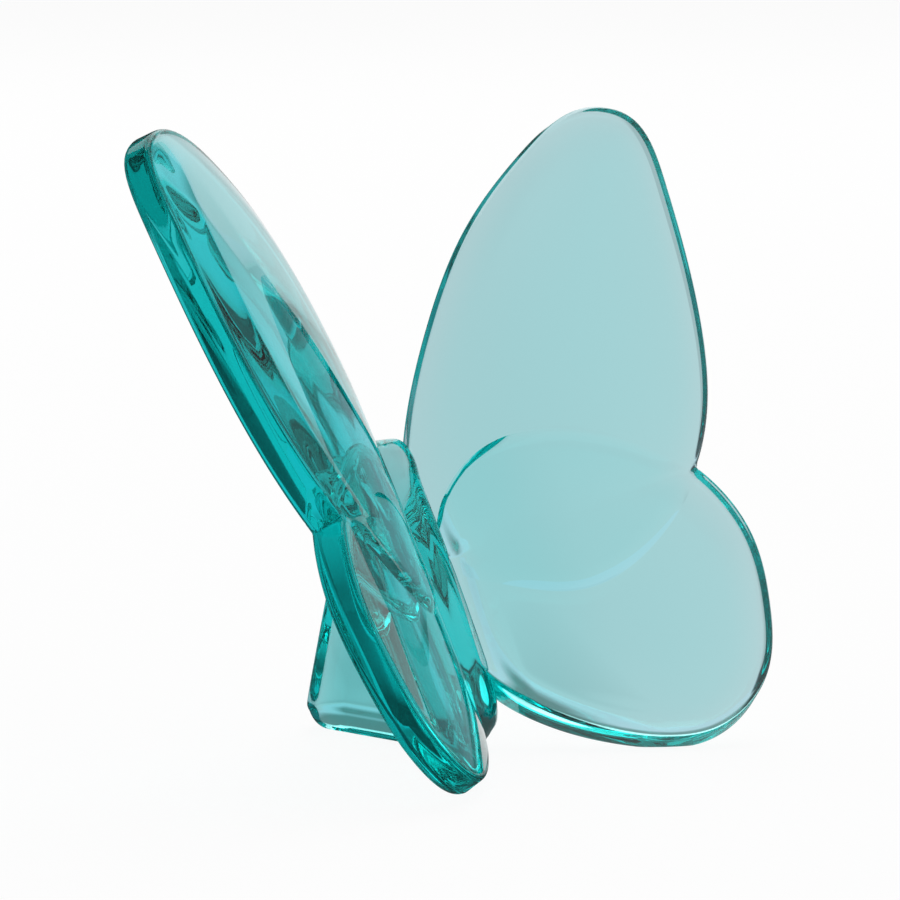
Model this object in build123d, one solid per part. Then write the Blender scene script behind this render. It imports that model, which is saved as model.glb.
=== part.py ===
from build123d import *
import math
import os

# Pressed-glass butterfly ornament, standing on the foot of its body and the lower rims of its hindwings.
# Millimetres and degrees, +Z up, origin under the middle of its box; the wings open towards -Y.
# Places along a wing are measured up the spine line, and outwards along the bend of the wing.

# Setting of the wings on the spine line, which leans back as it rises
spine_tilt = 60.0
spine_height = 13.75
spine_back = 7.1
wing_splay = 41.5
wing_bend_radius = 74.0

# Wing plates: forewing and hindwing are halved into each other where they overlap
wing_thickness = 4.6
rim_radius = 1.9
lap_step = 0.2

# Forewing, an egg with its broad end outwards
forewing_rise = 46.8
forewing_reach = 44.7
forewing_shares = [
    (0.378, 0.129),
    (0.597, 0.275),
    (0.800, 0.463),
    (0.940, 0.674),
    (1.000, 0.860),
    (0.953, 0.973),
    (0.769, 0.996),
    (0.440, 0.938),
    (0.192, 0.844),
    (-0.043, 0.609),
    (-0.105, 0.389),
    (-0.040, 0.229),
    (0.085, 0.085),
    (0.235, 0.075),
]

# Hindwing, a rounder egg hung below it
hindwing_drop = 23.9
hindwing_reach = 37.3
hindwing_shares = [
    (-0.150, 0.925),
    (0.190, 0.999),
    (0.523, 0.968),
    (0.816, 0.879),
    (1.000, 0.651),
    (0.904, 0.429),
    (0.657, 0.209),
    (0.377, 0.090),
    (0.000, 0.090),
    (-0.402, 0.190),
    (-0.582, 0.375),
    (-0.502, 0.657),
]

# Body, a keel with a flat foot that narrows to the head: (height, front, rear, thickness) of its sections
body_height = 31.4
body_length = 24.9
body_thickness = 8.5
body_front_reach = 11.4
body_corner_radius = 3.4
body_section_shares = [
    (0.000, 0.150, 0.925, 0.76),
    (0.020, 0.105, 0.960, 0.91),
    (0.060, 0.055, 0.985, 0.99),
    (0.120, 0.035, 0.975, 1.00),
    (0.230, 0.075, 0.940, 1.00),
    (0.400, 0.165, 0.885, 1.00),
    (0.640, 0.310, 0.815, 0.94),
    (0.860, 0.450, 0.755, 0.84),
    (0.960, 0.520, 0.715, 0.66),
    (1.000, 0.570, 0.680, 0.40),
]
corner_share = 0.46

overrun = 10.0


def bend_cylinder(radius):
    """Cylinder about the wing's line of bending, in the wing's own root plane."""
    return Pos(0, 0, wing_bend_radius) * Rot(0, 90, 0) * Cylinder(radius, 2 * (forewing_rise + hindwing_drop))


def wing_plate(rise, reach, shares, radius):
    """Plate of even thickness bent to the radius, with an egg outline and a rounded rim."""
    outline = []
    for rise_share, reach_share in shares:
        bend = reach * reach_share / wing_bend_radius
        outline.append((rise * rise_share, wing_bend_radius * math.sin(bend)))
    blank = make_face(Spline(*outline, periodic=True))
    prism = extrude(blank, amount=wing_bend_radius) + extrude(blank, amount=-overrun)
    middle = (prism & bend_cylinder(radius)).faces().filter_by(GeomType.CYLINDER)[0]
    plate = thicken(middle, amount=wing_thickness / 2, both=True)
    rims = [edge for edge in plate.edges() if edge.geom_type != GeomType.LINE]
    return fillet(rims, rim_radius)


def body():
    """Keel lofted through rounded sections, from the foot up to the head."""
    sections = []
    front = spine_back - body_front_reach
    for height_share, front_share, rear_share, thickness_share in body_section_shares:
        length = body_length * (rear_share - front_share)
        thickness = body_thickness * thickness_share
        corner = min(body_corner_radius, corner_share * min(length, thickness))
        middle = front + body_length * (front_share + rear_share) / 2
        place = Pos(0, middle, body_height * height_share)
        sections.append(place * RectangleRounded(thickness, length, corner))
    return loft(sections)


# The right wing's root plane: up the spine, outwards along the wing, and square to both at its back
tilt = math.radians(spine_tilt)
splay = math.radians(wing_splay)
root_plane = Plane(
    origin=(0, spine_back, spine_height),
    x_dir=(0, math.cos(tilt), math.sin(tilt)),
    z_dir=(math.cos(splay), math.sin(tilt) * math.sin(splay), -math.cos(tilt) * math.sin(splay)),
)

# Forewing over hindwing at the front, hindwing over forewing at the back, halved along the bend
forewing = wing_plate(forewing_rise, forewing_reach, forewing_shares, wing_bend_radius + lap_step)
hindwing = wing_plate(-hindwing_drop, hindwing_reach, hindwing_shares, wing_bend_radius - lap_step)
front_half = forewing - bend_cylinder(wing_bend_radius)
back_half = hindwing & bend_cylinder(wing_bend_radius)
forewing -= back_half
hindwing -= front_half

keel = body()
table = Pos(0, 0, -overrun) * Box(
    4 * forewing_reach, 4 * forewing_reach, 2 * overrun
)
nodes = {"body": keel}
for name, plate in (("forewing", forewing), ("hindwing", hindwing)):
    wing = root_plane * plate - keel - table
    nodes["right_" + name] = wing
    nodes["left_" + name] = mirror(wing, about=Plane.YZ)

os.makedirs("parts", exist_ok=True)
for name, solid in nodes.items():
    box = solid.bounding_box()
    print(name, round(solid.volume), box.min, box.max)
    export_step(solid, f"parts/{name}.step")
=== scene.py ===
import math

import bmesh
import bpy
import numpy as np
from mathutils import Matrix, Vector


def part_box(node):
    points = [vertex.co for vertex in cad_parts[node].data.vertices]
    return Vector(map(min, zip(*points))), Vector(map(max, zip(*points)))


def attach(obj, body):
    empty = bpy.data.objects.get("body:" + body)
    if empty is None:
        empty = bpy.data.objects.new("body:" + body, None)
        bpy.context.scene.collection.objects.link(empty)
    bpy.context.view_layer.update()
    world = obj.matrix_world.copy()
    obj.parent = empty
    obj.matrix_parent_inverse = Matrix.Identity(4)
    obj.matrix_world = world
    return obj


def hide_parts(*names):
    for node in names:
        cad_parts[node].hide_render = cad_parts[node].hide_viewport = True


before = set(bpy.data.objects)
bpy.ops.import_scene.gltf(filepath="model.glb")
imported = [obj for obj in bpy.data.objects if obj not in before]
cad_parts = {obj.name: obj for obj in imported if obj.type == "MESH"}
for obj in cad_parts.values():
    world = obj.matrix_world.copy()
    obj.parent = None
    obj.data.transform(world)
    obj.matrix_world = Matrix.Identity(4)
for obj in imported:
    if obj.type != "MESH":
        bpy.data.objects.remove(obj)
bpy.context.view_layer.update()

# Body: head, back ridge, tail and upright keel, one thick web of pressed glass between the wings and of one
# casting with them. It narrows from the foot, which is ground flat to stand on, to the rounded head.
MM = 0.001
body_low, body_high = (np.array(corner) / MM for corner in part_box("body"))
body_height, body_half_thickness = body_high[2], body_high[0]
tail_y, heel_y = body_low[1] - 2.4, body_high[1] + 1.1
ridge_lean, keel_lean = 0.486, 0.248
tail_corner, brow_corner = (5.6, 8.0), (1.5, 2.4)
heel_corner, nape_corner = (2.2, 2.6), (1.9, 2.4)
foot_bevel, crown_corner = (2.1, 2.4, 0.35), (1.5, 3.2)
head_taper = 0.25
section_corner, corner_share = 3.4, 0.92
foot_zone, head_zone = 3.0, 3.2
foot_rows, web_rows, head_rows = 16, 44, 20
foot_inset = 0.06
side_points = np.array([0.02, 0.06, 0.15, 0.32, 0.5, 0.68, 0.85, 0.94, 0.98])
corner_points = 17
CRYSTAL_IOR = 1.54
CRYSTAL_TINT, TINT_DEPTH_MM = "7FF3F2", 10.0
POLISH_WAVE_MM, POLISH_WAVE_DEPTH_MM = 18.0, 0.0015


def linear(hex_colour):
    """sRGB hex to linear RGBA: each channel c becomes ((c + 0.055) / 1.055) ** 2.4, or c / 12.92 when dark."""
    channels = [int(hex_colour[i:i + 2], 16) / 255 for i in (0, 2, 4)]
    curved = [c / 12.92 if c <= 0.04045 else ((c + 0.055) / 1.055) ** 2.4 for c in channels]
    return (*curved, 1.0)


def add_node(tree, kind, inputs=None, **settings):
    """Adds a node: settings are its properties, and inputs gives a socket an output to link or a plain value."""
    node = tree.nodes.new(kind)
    for name, value in settings.items():
        setattr(node, name, value)
    for name, value in (inputs or {}).items():
        if isinstance(value, bpy.types.NodeSocket):
            tree.links.new(value, node.inputs[name])
        else:
            node.inputs[name].default_value = value
    return node


def turquoise_crystal():
    """Crystal pressed in a hot mould and fire-polished: clear and slick, so a smooth refracting surface with a
    shallow noise bump for the flame's waviness, over an absorbing volume that tints edges more than faces."""
    material = bpy.data.materials.new("turquoise_crystal")
    material.use_nodes = True
    tree = material.node_tree
    tree.nodes.clear()
    place = add_node(tree, "ShaderNodeTexCoord")
    wave = add_node(tree, "ShaderNodeTexNoise", {
        "Vector": place.outputs["Object"], "Scale": 1 / (POLISH_WAVE_MM * MM), "Detail": 1.0, "Roughness": 0.4,
    })
    polish = add_node(tree, "ShaderNodeBump", {
        "Height": wave.outputs["Fac"], "Strength": 1.0, "Distance": POLISH_WAVE_DEPTH_MM * MM,
    })
    glass = add_node(tree, "ShaderNodeBsdfPrincipled", {
        "Normal": polish.outputs["Normal"], "Base Color": linear("FFFFFF"), "Roughness": 0.0,
        "IOR": CRYSTAL_IOR, "Transmission Weight": 1.0,
    })
    losses = [-math.log(channel) / (TINT_DEPTH_MM * MM) for channel in linear(CRYSTAL_TINT)[:3]]
    density = max(losses)
    kept = [1 - loss / density for loss in losses]
    tint = add_node(tree, "ShaderNodeVolumeAbsorption", {"Color": (*kept, 1.0), "Density": density})
    add_node(tree, "ShaderNodeOutputMaterial", {
        "Surface": glass.outputs["BSDF"], "Volume": tint.outputs["Volume"],
    })
    return material


def corner_cut(height, length, rise):
    """Quarter ellipse: how far a corner of that length and rise is cut back at each height above its end."""
    return length * (1 - np.sqrt(1 - np.clip(1 - height / rise, 0, 1) ** 2))


def bevel_cut(height, length, rise, soft):
    """Bevel with rounded ends: a slope down to nothing at the rise, blended by a hyperbola."""
    slope = length * (1 - height / rise)
    return (slope + np.sqrt(slope ** 2 + soft ** 2)) / 2


def rounded_ring(half_x, half_y, corner):
    """Rounded rectangles as rows of points: straight sides between quarter circles, closer near the corners."""
    turn = np.linspace(0, math.pi / 2, corner_points)
    arcs = []
    for quarter, (sign_x, sign_y) in enumerate(((1, 1), (-1, 1), (-1, -1), (1, -1))):
        angle = turn + quarter * math.pi / 2
        arc_x = sign_x * (half_x - corner)[:, None] + corner[:, None] * np.cos(angle)
        arc_y = sign_y * (half_y - corner)[:, None] + corner[:, None] * np.sin(angle)
        arcs.append(np.stack([arc_x, arc_y], -1))
    rows = []
    for arc, following in zip(arcs, arcs[1:] + arcs[:1]):
        start, end = arc[:, -1:], following[:, :1]
        rows += [arc, start + side_points[None, :, None] * (end - start)]
    return np.concatenate(rows, 1)


def shell_mesh(name, rings, flip=False):
    """Closed mesh from a grid of rings, each joined to the next, with a fan of triangles at both ends."""
    count, around = rings.shape[:2]
    ends = np.stack([rings[0].mean(0), rings[-1].mean(0)])
    points = np.concatenate([rings.reshape(-1, 3), ends]) * MM
    index = np.arange(count * around).reshape(count, around)
    after = np.roll(index, -1, 1)
    quads = np.stack([index[:-1], after[:-1], after[1:], index[1:]], -1).reshape(-1, 4)
    first, last = count * around, count * around + 1
    low = np.stack([np.full(around, first), after[0], index[0]], -1)
    high = np.stack([np.full(around, last), index[-1], after[-1]], -1)
    faces = quads.tolist() + low.tolist() + high.tolist()
    if flip:
        faces = [face[::-1] for face in faces]
    mesh = bpy.data.meshes.new(name)
    mesh.from_pydata(points.tolist(), [], faces)
    mesh.polygons.foreach_set("use_smooth", np.ones(len(mesh.polygons), bool))
    mesh.update()
    mesh.materials.append(crystal)
    piece = bpy.data.objects.new(name, mesh)
    bpy.context.collection.objects.link(piece)
    return piece


def body_rings(shrink=0.0):
    """Rounded rectangles stacked in height: their ends follow the ridge and the keel's rear edge, and every
    corner of the side view is a quarter ellipse. shrink draws the skin in all round."""
    foot = (1 - np.cos(np.linspace(0, math.pi / 2, foot_rows))) * foot_zone
    web = np.linspace(foot_zone, body_height - head_zone, web_rows)[1:-1]
    head = body_height - (1 - np.cos(np.linspace(0, math.pi / 2, head_rows))) * head_zone
    z = np.concatenate([foot, web, head[::-1]])
    below_top = body_height - z
    front = tail_y + ridge_lean * z + corner_cut(z, *tail_corner) + corner_cut(below_top, *brow_corner)
    rear = heel_y - keel_lean * z - corner_cut(z, *heel_corner) - corner_cut(below_top, *nape_corner)
    half_x = body_half_thickness * (1 - head_taper * (z / body_height) ** 3)
    half_x = half_x - bevel_cut(z, *foot_bevel) - corner_cut(below_top, *crown_corner)
    half_x, half_y = half_x - shrink, (rear - front) / 2 - shrink
    corner = np.minimum(section_corner, corner_share * np.minimum(half_x, half_y))
    ring = rounded_ring(half_x, half_y, corner)
    rings = np.concatenate([ring, np.broadcast_to(z[:, None, None], (*ring.shape[:2], 1))], 2)
    rings[..., 1] += ((front + rear) / 2)[:, None]
    inner = rings[0] + foot_inset * (rings[0].mean(0) - rings[0])
    return np.concatenate([inner[None], rings])


crystal = turquoise_crystal()
body = shell_mesh("body_glass", body_rings())
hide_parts("body")
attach(body, "root")


# Wings: on each side a tall forewing and a rounder hindwing, pressed as one bent plate of glass. It is thickest
# in the middle, its edges slope as the mould left them, and it is one casting with the body. Where the two
# overlap, the forewing lies proud at the front and the hindwing at the back.
spine_tilt, wing_splay = math.radians(60.0), math.radians(41.5)
spine_back, spine_height = 7.1, 13.75
bend_radius = 74.0
half_rim, pillow_rise, pillow_reach = 2.0, 0.35, 15.0
tip_thinning, tip_distance, thickest_rise = 0.15, 56.0, 5.0
root_swell, root_reach = 0.35, 9.0
edge_draft, pull_lean = 9.5, (3.0, 7.0)
front_round, back_round, front_round_share = 0.5, 0.85, 0.35
tip_rounding, tip_from, tip_span = 0.3, 14.0, 32.0
end_rounding, end_from, end_span = 0.6, -5.0, 16.0
lap_step, lap_shoulder, lap_round = 0.6, 4.5, 2.2
lap_from, front_fade, back_fade = 4.0, 10.0, 5.0
back_step_root, back_round_root, back_root_from, back_root_span = 2.6, 0.45, 9.0, 12.0
lens_centre = np.array([4.6, 19.5])
forewing_rise, forewing_reach = 46.8, 44.7
forewing_shares = np.array([
    (0.378, 0.129), (0.597, 0.275), (0.800, 0.463), (0.940, 0.674), (1.000, 0.860), (0.953, 0.973),
    (0.769, 0.996), (0.440, 0.938), (0.192, 0.844), (-0.043, 0.609), (-0.105, 0.389), (-0.040, 0.229),
    (0.085, 0.085), (0.235, 0.075),
])
hindwing_drop, hindwing_reach = 23.9, 37.3
hindwing_shares = np.array([
    (-0.150, 0.925), (0.190, 0.999), (0.523, 0.968), (0.816, 0.879), (1.000, 0.651), (0.904, 0.429),
    (0.657, 0.209), (0.377, 0.090), (0.000, 0.090), (-0.402, 0.190), (-0.582, 0.375), (-0.502, 0.657),
])
outline_points, spoke_count, chunk = 900, 500, 4000
edge_reach, rim_band, tight_share, most_oblique = 2.6, 2.9, 0.9, 3
lens_rings, band_rings, band_power, face_rings, face_power = 8, 14, 1.5, 32, 1.3
lens_least, lens_first, hair, tangent_span = 0.5, 0.03, 1e-6, 3
front_stations = np.array([
    0, 0.07, 0.14, 0.19, 0.24, 0.29, 0.34, 0.39, 0.44, 0.50, 0.56, 0.63, 0.70, 0.77, 0.84, 0.92, 1.02, 1.14,
    1.28, 1.45, 1.9, edge_reach,
])
back_turn = back_round * (1 - np.cos(np.linspace(0, math.pi / 2, 14)))
back_stations = np.concatenate([back_turn, [1.6, 2.1, edge_reach]])
seat_overlap, sliver = 0.02, 0.001
sharp_corner = math.radians(40)
table_half, table_depth = 90.0, 9.0


def closed_spline(points, count):
    """Periodic cubic through the points, by chord length: the second derivatives solve a cyclic system."""
    total = len(points)
    step = np.linalg.norm(np.roll(points, -1, 0) - points, axis=1)
    before = np.roll(step, 1)
    rows = np.arange(total)
    system = np.zeros((total, total))
    system[rows, rows] = 2 * (before + step)
    system[rows, (rows - 1) % total] = before
    system[rows, (rows + 1) % total] = step
    slope = (np.roll(points, -1, 0) - points) / step[:, None]
    bend = np.linalg.solve(system, 6 * (slope - np.roll(slope, 1, 0)))
    knots = np.concatenate([[0], np.cumsum(step)])
    at = np.linspace(0, knots[-1], count, endpoint=False)
    span = np.clip(np.searchsorted(knots, at, "right") - 1, 0, total - 1)
    rest = (at - knots[span])[:, None]
    width = step[span][:, None]
    after = (span + 1) % total
    first = (points[after] - points[span]) / width - width * (2 * bend[span] + bend[after]) / 6
    third = (bend[after] - bend[span]) / (6 * width)
    return points[span] + rest * (first + rest * (bend[span] / 2 + rest * third))


def rim_radius(outline, angles):
    """Distance of an egg outline from the lens centre in each direction."""
    offset = outline - lens_centre
    turn = np.arctan2(offset[:, 1], offset[:, 0])
    order = np.argsort(turn)
    return np.interp(angles, turn[order], np.hypot(*offset.T)[order], period=2 * math.pi)


def depth_inside(points, outline, inside):
    """Distance of each point from the outline, positive inside it."""
    nearest = np.empty(len(points))
    along = np.roll(outline, -1, 0) - outline
    square = (along ** 2).sum(1)
    for start in range(0, len(points), chunk):
        offset = points[start:start + chunk, None] - outline
        share = np.clip((offset * along).sum(-1) / square, 0, 1)
        gap = offset - share[..., None] * along
        nearest[start:start + chunk] = np.sqrt((gap ** 2).sum(-1).min(1))
    return np.where(inside, nearest, -nearest)


def rim_draft(rim):
    """Draft of the edge at each point of a closed rim: the mould was pulled at a lean, so it is steeper where
    the rim's outward direction agrees with the lean."""
    along = np.roll(rim, -tangent_span, 0) - np.roll(rim, tangent_span, 0)
    outward = np.stack([along[:, 1], -along[:, 0]], 1) / np.linalg.norm(along, axis=1)[:, None]
    return np.radians(edge_draft - outward @ pull_lean)


def quarter_circle(radius, inset):
    """Height of a quarter circle of that radius at an inset from its foot, level with its top beyond it."""
    return np.sqrt(np.maximum(radius ** 2 - np.clip(radius - inset, 0, None) ** 2, 0))


def plate_skins(depth, half, draft, front_radius, back_radius):
    """Front and back height of a plate at a depth inside its outline. The back turns up through a quarter circle
    to the outline, then the edge slopes in at the draft angle and rounds over into the front."""
    crest = back_radius - half
    top = half - front_radius * (1 - np.sin(draft))
    edge = (top - crest) * np.tan(draft)
    middle = edge + front_radius * np.cos(draft)
    slope = crest + depth / np.tan(draft)
    rounding = half - front_radius + quarter_circle(front_radius, front_radius - middle + depth)
    front = np.where(depth < edge, slope, rounding)
    back = -half + back_radius - quarter_circle(back_radius, depth)
    return front, back


def crown(depth, width):
    """Rounded shoulder: a parabola that rises from nothing at the edge to one over the width."""
    return np.where(depth > 0, 1 - np.clip(1 - depth / width, 0, 1) ** 2, 0)


def smooth(share):
    """Smooth step from zero to one: three squares less two cubes of the share, held between the two."""
    share = np.clip(share, 0, 1)
    return share * share * (3 - 2 * share)


def ring_radii(stations, inner, outer):
    """Radius of every ring in each direction: wide rings in the overlap, close ones inside its rim, wide ones
    out to the edge, and the stations there, set apart by more where the rim runs oblique to the spokes."""
    swing = (np.roll(outer, -1, 0) - np.roll(outer, 1, 0)) / (4 * math.pi / spoke_count)
    oblique = np.clip(np.hypot(outer, swing) / outer, 1, most_oblique)
    lens_end = np.maximum(inner - rim_band, lens_least * inner)
    lens = np.linspace(lens_first, 1, lens_rings)[:-1] * lens_end
    band = lens_end + (1 - np.linspace(1, 0, band_rings) ** band_power) * (inner - lens_end)
    inset = stations[::-1] * oblique
    tight = tight_share * (outer - inner) * stations[::-1] / edge_reach + hair
    edge = outer - np.where(outer - inner > rim_band * oblique, inset, np.minimum(inset, tight))
    face = inner + np.linspace(0, 1, face_rings)[1:-1] ** face_power * (edge[:, :1] - inner)
    return np.concatenate([lens, band, face, edge], 1)


def wing_sheets():
    """Front and back skins on polar rings about the overlap: each ring point is a flat (rise, reach) place and a
    height. The outermost ring is the outline shared by both skins."""
    fore = closed_spline(forewing_shares * [forewing_rise, forewing_reach], outline_points)
    hind = closed_spline(hindwing_shares * [-hindwing_drop, hindwing_reach], outline_points)
    angles = np.linspace(-math.pi, math.pi, spoke_count, endpoint=False)
    spokes = np.stack([np.cos(angles), np.sin(angles)], -1)
    fore_rim, hind_rim = rim_radius(fore, angles)[:, None], rim_radius(hind, angles)[:, None]
    inner, outer = np.minimum(fore_rim, hind_rim), np.maximum(fore_rim, hind_rim)
    draft = rim_draft(outer * spokes)[:, None]
    skins = []
    for stations, fade in ((front_stations, front_fade), (back_stations, back_fade)):
        radius = ring_radii(stations, inner, outer)
        flat = lens_centre + radius[..., None] * spokes[:, None]
        rise, reach = flat[..., 0], flat[..., 1]
        places = flat.reshape(-1, 2)
        fore_in = depth_inside(places, fore, (radius <= fore_rim + 1e-9).ravel()).reshape(radius.shape)
        hind_in = depth_inside(places, hind, (radius <= hind_rim + 1e-9).ravel()).reshape(radius.shape)
        depth = np.maximum(np.maximum(fore_in, hind_in), 0)
        away = np.hypot(rise - thickest_rise, reach) / tip_distance
        half = half_rim + pillow_rise * crown(depth, pillow_reach)
        half = half - tip_thinning * away ** 2 + root_swell * np.exp(-(reach / root_reach) ** 2)
        ends = smooth(np.maximum((rise - tip_from) / tip_span, (end_from - rise) / end_span))
        extra = np.where(rise > 0, tip_rounding, end_rounding) * ends
        front_radius, back_radius = front_round + front_round_share * extra, back_round + extra
        front, back = plate_skins(depth, half, draft, front_radius, back_radius)
        step = lap_step * smooth(depth / lap_shoulder) * smooth((reach - lap_from) / fade)
        out = smooth((reach - back_root_from) / back_root_span)
        back_step = step * (back_step_root + (1 - back_step_root) * out)
        back_lap = back_round_root + (lap_round - back_round_root) * out
        if stations is front_stations:
            height = front + step * crown(fore_in, lap_round)
        else:
            height = back - back_step * crown(hind_in, back_lap)
        height[:, -1] = (back_radius - half)[:, -1]
        skins.append((flat, height))
    return skins


def wing_place(flat, height, side):
    """Bends a flat place onto the cylinder along the spine, then sets it at the spine's tilt and the splay."""
    angle = flat[..., 1] / bend_radius
    out = (bend_radius + height) * np.sin(angle)
    behind = bend_radius - (bend_radius + height) * np.cos(angle)
    spine = np.array([0, math.cos(spine_tilt), math.sin(spine_tilt)])
    ahead = np.array([0, -math.sin(spine_tilt), math.cos(spine_tilt)])
    outward = np.array([math.sin(wing_splay), 0, 0]) + math.cos(wing_splay) * ahead
    normal = np.cross(spine, outward)
    place = flat[..., :1] * spine + out[..., None] * outward + behind[..., None] * normal
    return (place + [0, spine_back, spine_height]) * [side, 1, 1]


def cut_away(piece, cutters):
    """Takes the cutters out of a piece, merges the slivers of the cut and keeps the new corners sharp."""
    for cutter in cutters:
        step = piece.modifiers.new(cutter.name, "BOOLEAN")
        step.operation, step.solver, step.object = "DIFFERENCE", "MANIFOLD", cutter
    evaluated = piece.evaluated_get(bpy.context.evaluated_depsgraph_get())
    mesh = bpy.data.meshes.new_from_object(evaluated)
    work = bmesh.new()
    work.from_mesh(mesh)
    bmesh.ops.remove_doubles(work, verts=work.verts, dist=sliver * MM)
    bmesh.ops.triangulate(work, faces=[face for face in work.faces if len(face.verts) > 4])
    work.to_mesh(mesh)
    work.free()
    piece.modifiers.clear()
    piece.data = mesh
    mesh.polygons.foreach_set("use_smooth", np.ones(len(mesh.polygons), bool))
    mesh.set_sharp_from_angle(angle=sharp_corner)


body_cutter = shell_mesh("body_cutter", body_rings(seat_overlap))
table_square = table_half * np.array([(-1, -1), (1, -1), (1, 1), (-1, 1)])
table_rings = np.stack([np.column_stack([table_square, np.full(4, z)]) for z in (-table_depth, 0.0)])
table_cutter = shell_mesh("table_cutter", table_rings)
cutters = (body_cutter, table_cutter)
(front_flat, front_height), (back_flat, back_height) = wing_sheets()
for side, name in ((1, "right"), (-1, "left")):
    front_skin = wing_place(front_flat, front_height, side)
    back_skin = wing_place(back_flat, back_height, side)
    skin = np.concatenate([front_skin, back_skin[:, -2::-1]], 1)
    wing = shell_mesh(name + "_wing_glass", np.swapaxes(skin, 0, 1), flip=side < 0)
    cut_away(wing, cutters)
    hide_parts(name + "_forewing", name + "_hindwing")
    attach(wing, "root")
for cutter in cutters:
    bpy.data.objects.remove(cutter)


# Studio: a white table before a white backdrop, a softbox high behind the glass, and a room that is dim on
# the left and behind the camera. The glass shows the white through its faces. Along its rims it shows painted
# shade: inside the dim wedge, rays that met more than two glass surfaces see the world far darker and the table
# dark teal, though the camera sees both white. Its polished faces show a painted reflection of a bright band
# and of a soft light on the right, which light nothing.
WHITE = linear("FFFFFF")
# The second colour is painted shade: the dark teal the table shows through the glass inside the wedge, never to
# the camera. The third is the colour of painted reflections.
TABLE_TINT, PAINTED_SHADE_TINT, PAINTED_REFLECTION_TINT = linear("EFDADE"), linear("4B6161"), linear("F9F9F9")
TABLE_GLOW, TABLE_MATT = 0.93, linear("595959")
TABLE_SIZE, TABLE_DROP = 6.0, 0.0001
WEDGE_FROM, WEDGE_TO, WEDGE_APEX = math.radians(59.0), math.radians(150.0), (0.036, 0.005, 0)
# Painted shade: inside the wedge a ray that met more than two glass surfaces loses all light.
WEDGE_LOSS, WEDGE_DEPTHS = 0.28, (2.0, 3.0)
TABLE_WEDGE_SOFT, WORLD_WEDGE_SOFT, WORLD_WEDGE_LEAST = 0.02, 0.12, 0.12
SKY_STOPS = ((0.08, "C0B2BA"), (0.22, "7C7C7C"), (0.5, "7C7C7C"), (0.72, "FFFFFF"))
COLOUR_A, COLOUR_B, COLOUR_RESULT = 6, 7, 2


def outside_wedge(tree, vector, soft):
    """One outside the dim wedge between two compass directions and zero inside it. Light straight through the
    glass loses a share only; light that met more than two surfaces loses it all, which is painted shade for
    the glass's rims."""
    depths = []
    for angle, sign in ((WEDGE_FROM, 1), (WEDGE_TO, -1)):
        inward = (-sign * math.sin(angle), sign * math.cos(angle), 0)
        side = add_node(tree, "ShaderNodeVectorMath", {0: vector, 1: inward}, operation="DOT_PRODUCT")
        depths.append(side.outputs["Value"])
    inside = add_node(tree, "ShaderNodeMath", {0: depths[0], 1: depths[1]}, operation="MINIMUM")
    path = add_node(tree, "ShaderNodeLightPath")
    least = add_node(tree, "ShaderNodeMapRange", {
        "Value": path.outputs["Ray Depth"], "From Min": WEDGE_DEPTHS[0], "From Max": WEDGE_DEPTHS[1],
        "To Min": 1 - WEDGE_LOSS, "To Max": 0.0,
    })
    return add_node(tree, "ShaderNodeMapRange", {
        "Value": inside.outputs[0], "From Min": 0.0, "From Max": soft, "To Min": 1.0, "To Max": least.outputs[0],
    }).outputs[0]


def toward(tree, vector, compass, low, high, dim, bright):
    """Smooth step from dim to bright as a level direction turns to a compass angle, between two cosines."""
    goal = (math.cos(math.radians(compass)), math.sin(math.radians(compass)), 0)
    flat = add_node(tree, "ShaderNodeVectorMath", {0: vector, 1: (1, 1, 0)}, operation="MULTIPLY")
    way = add_node(tree, "ShaderNodeVectorMath", {0: flat.outputs[0]}, operation="NORMALIZE")
    along = add_node(tree, "ShaderNodeVectorMath", {0: way.outputs[0], 1: goal}, operation="DOT_PRODUCT")
    return add_node(tree, "ShaderNodeMapRange", {
        "Value": along.outputs["Value"], "From Min": low, "From Max": high, "To Min": dim, "To Max": bright,
    }, interpolation_type="SMOOTHSTEP").outputs[0]


def painted_reflection_tone(tree, vector):
    """Brightness of what the polished faces mirror, all painted reflection that lights nothing: a narrow bright
    band toward the white behind the glass, and a soft light on the right.
    """
    # Both terms are painted reflections, seen only in mirrored rays.
    painted_backdrop_band = toward(tree, vector, compass=20.3, low=0.88, high=0.911, dim=0.05, bright=1.0)
    painted_soft_light = toward(tree, vector, compass=-62.0, low=0.45, high=1.0, dim=0.0, bright=0.5)
    return add_node(tree, "ShaderNodeMath", {0: painted_backdrop_band, 1: painted_soft_light}, operation="ADD").outputs[0]


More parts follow.
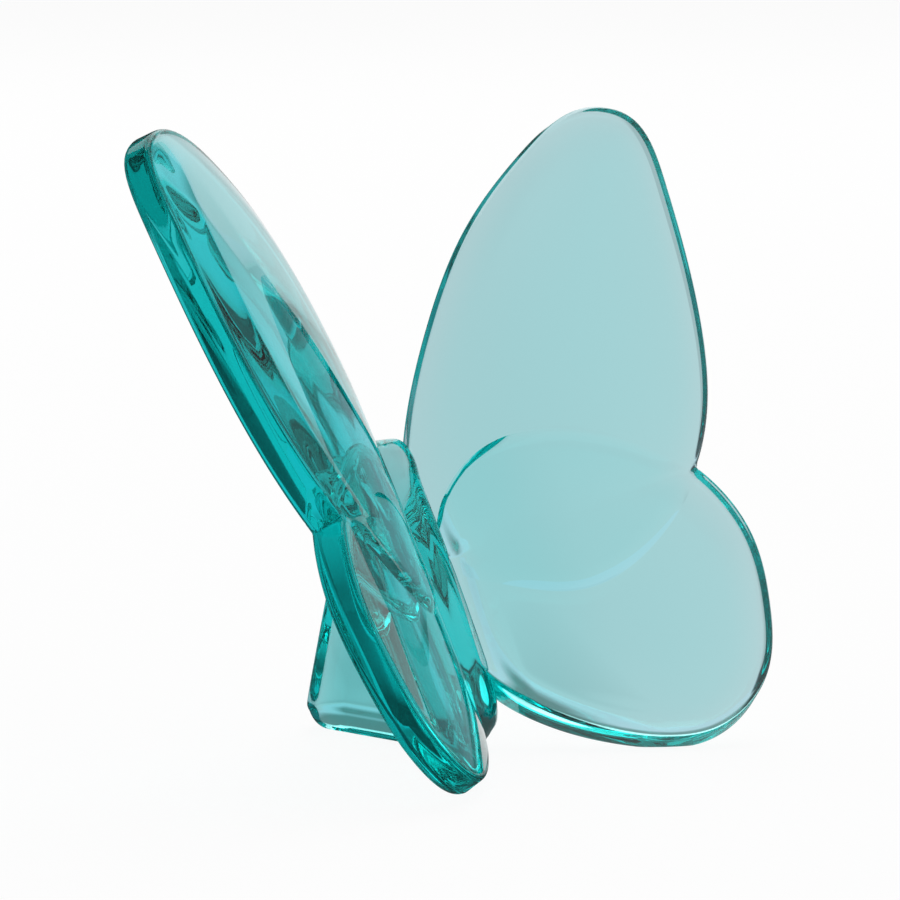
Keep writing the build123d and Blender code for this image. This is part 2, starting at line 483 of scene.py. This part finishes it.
def white_table_painted_shade():
    """White to the camera, with a faint shadow. Through the glass it glows in the table's tint, and inside the
    wedge in a dark teal that is painted shade for the glass's rims; in a polished face it shows a painted
    reflection at the painted reflection tone."""
    material = bpy.data.materials.new("white_table_painted_shade")
    material.use_nodes = True
    tree = material.node_tree
    tree.nodes.clear()
    path = add_node(tree, "ShaderNodeLightPath")
    place = add_node(tree, "ShaderNodeTexCoord").outputs["Object"]
    mirrored = path.outputs["Is Reflection Ray"]
    from_apex = add_node(tree, "ShaderNodeVectorMath", {0: place, 1: WEDGE_APEX}, operation="SUBTRACT")
    # Painted shade: inside the wedge the table glows dark teal through the glass, wholly so to rays deep in it.
    through = add_node(tree, "ShaderNodeMix", {
        "Factor": outside_wedge(tree, from_apex.outputs[0], TABLE_WEDGE_SOFT),
        COLOUR_A: PAINTED_SHADE_TINT, COLOUR_B: TABLE_TINT,
    }, data_type="RGBA")
    # Painted reflection: mirrored rays see the table near-white, at the painted reflection tone.
    colour = add_node(tree, "ShaderNodeMix", {
        "Factor": mirrored, COLOUR_A: through.outputs[COLOUR_RESULT], COLOUR_B: PAINTED_REFLECTION_TINT,
    }, data_type="RGBA")
    level = add_node(tree, "ShaderNodeMix", {"Factor": mirrored, "A": 1.0, "B": painted_reflection_tone(tree, place)})
    seen = add_node(tree, "ShaderNodeEmission", {
        "Strength": level.outputs["Result"], "Color": colour.outputs[COLOUR_RESULT],
    })
    glow = add_node(tree, "ShaderNodeEmission", {"Color": WHITE, "Strength": TABLE_GLOW})
    matt = add_node(tree, "ShaderNodeBsdfDiffuse", {"Color": TABLE_MATT})
    white = add_node(tree, "ShaderNodeAddShader", {0: glow.outputs[0], 1: matt.outputs[0]})
    mix = add_node(tree, "ShaderNodeMixShader", {
        "Fac": path.outputs["Is Camera Ray"], 1: seen.outputs[0], 2: white.outputs[0],
    })
    add_node(tree, "ShaderNodeOutputMaterial", {"Surface": mix.outputs[0]})
    return material


bpy.ops.mesh.primitive_plane_add(size=TABLE_SIZE, location=(0, 0, -TABLE_DROP))
floor = bpy.context.object
floor.name = "floor"
floor.data.materials.append(white_table_painted_shade())

scene = bpy.context.scene
scene.world = bpy.data.worlds.new("studio")
scene.world.use_nodes = True
tree = scene.world.node_tree
tree.nodes.clear()
path = add_node(tree, "ShaderNodeLightPath")
mirrored = path.outputs["Is Reflection Ray"]
way = add_node(tree, "ShaderNodeTexCoord").outputs["Generated"]
axes = add_node(tree, "ShaderNodeSeparateXYZ", {0: way})
sky = add_node(tree, "ShaderNodeValToRGB", {"Fac": axes.outputs["Z"]})
while len(sky.color_ramp.elements) < len(SKY_STOPS):
    sky.color_ramp.elements.new(0.5)
for element, (at, colour) in zip(sky.color_ramp.elements, SKY_STOPS):
    element.position, element.color = at, linear(colour)
# Inside the wedge the world is dimmer to all light, and much darker to rays that met more than two glass
# surfaces: painted shade for the rims.
wedge = add_node(tree, "ShaderNodeMapRange", {
    "Value": outside_wedge(tree, way, WORLD_WEDGE_SOFT), "To Min": WORLD_WEDGE_LEAST, "To Max": 1.0,
})
ahead = toward(tree, way, compass=43.5, low=-0.4, high=0.2, dim=0.5, bright=1.65)
through = add_node(tree, "ShaderNodeMath", {0: wedge.outputs[0], 1: ahead}, operation="MULTIPLY")
# Mirrored rays see a painted reflection, not the world: a bright band and a soft light on the right.
level = add_node(tree, "ShaderNodeMix", {
    "Factor": mirrored, "A": through.outputs[0], "B": painted_reflection_tone(tree, way),
})
colour = add_node(tree, "ShaderNodeMix", {
    "Factor": mirrored, COLOUR_A: sky.outputs["Color"], COLOUR_B: PAINTED_REFLECTION_TINT,
}, data_type="RGBA")
dim = add_node(tree, "ShaderNodeBackground", {
    "Strength": level.outputs["Result"], "Color": colour.outputs[COLOUR_RESULT],
})
white = add_node(tree, "ShaderNodeBackground", {"Color": WHITE, "Strength": 1.0})
mix = add_node(tree, "ShaderNodeMixShader", {
    "Fac": path.outputs["Is Camera Ray"], 1: dim.outputs[0], 2: white.outputs[0],
})
add_node(tree, "ShaderNodeOutputWorld", {"Surface": mix.outputs[0]})

softbox_place, softbox_goal = Vector((0.5, 0.9, 1.6)), Vector((0, 0, 0.03))
softbox = bpy.data.lights.new("softbox", "AREA")
softbox.shape, softbox.size, softbox.size_y, softbox.energy = "RECTANGLE", 2.2, 2.2, 14.0
softbox_object = bpy.data.objects.new("softbox", softbox)
softbox_object.location = softbox_place
softbox_object.rotation_mode = "QUATERNION"
softbox_object.rotation_quaternion = (softbox_goal - softbox_place).to_track_quat("-Z", "Y")
bpy.context.collection.objects.link(softbox_object)


# Camera: a long lens at the photograph's angle, a little above the table. It isn't part of the object, and
# glass needs many bounces for its inner reflections.
camera_place, camera_way = (-0.33665, -0.31743, 0.08857), Vector((0.7203, 0.6827, -0.1228))
camera_data = bpy.data.cameras.new("camera")
camera_data.sensor_width, camera_data.lens = 36.0, 180.0
camera_data.clip_start, camera_data.clip_end = 0.05, 20
camera = bpy.data.objects.new("camera", camera_data)
camera.location = camera_place
camera.rotation_mode = "QUATERNION"
camera.rotation_quaternion = camera_way.to_track_quat("-Z", "Y")
bpy.context.collection.objects.link(camera)
scene.camera = camera
scene.view_settings.view_transform = "Standard"
scene.cycles.max_bounces = 32
scene.cycles.transmission_bounces = 32
scene.cycles.glossy_bounces = 16
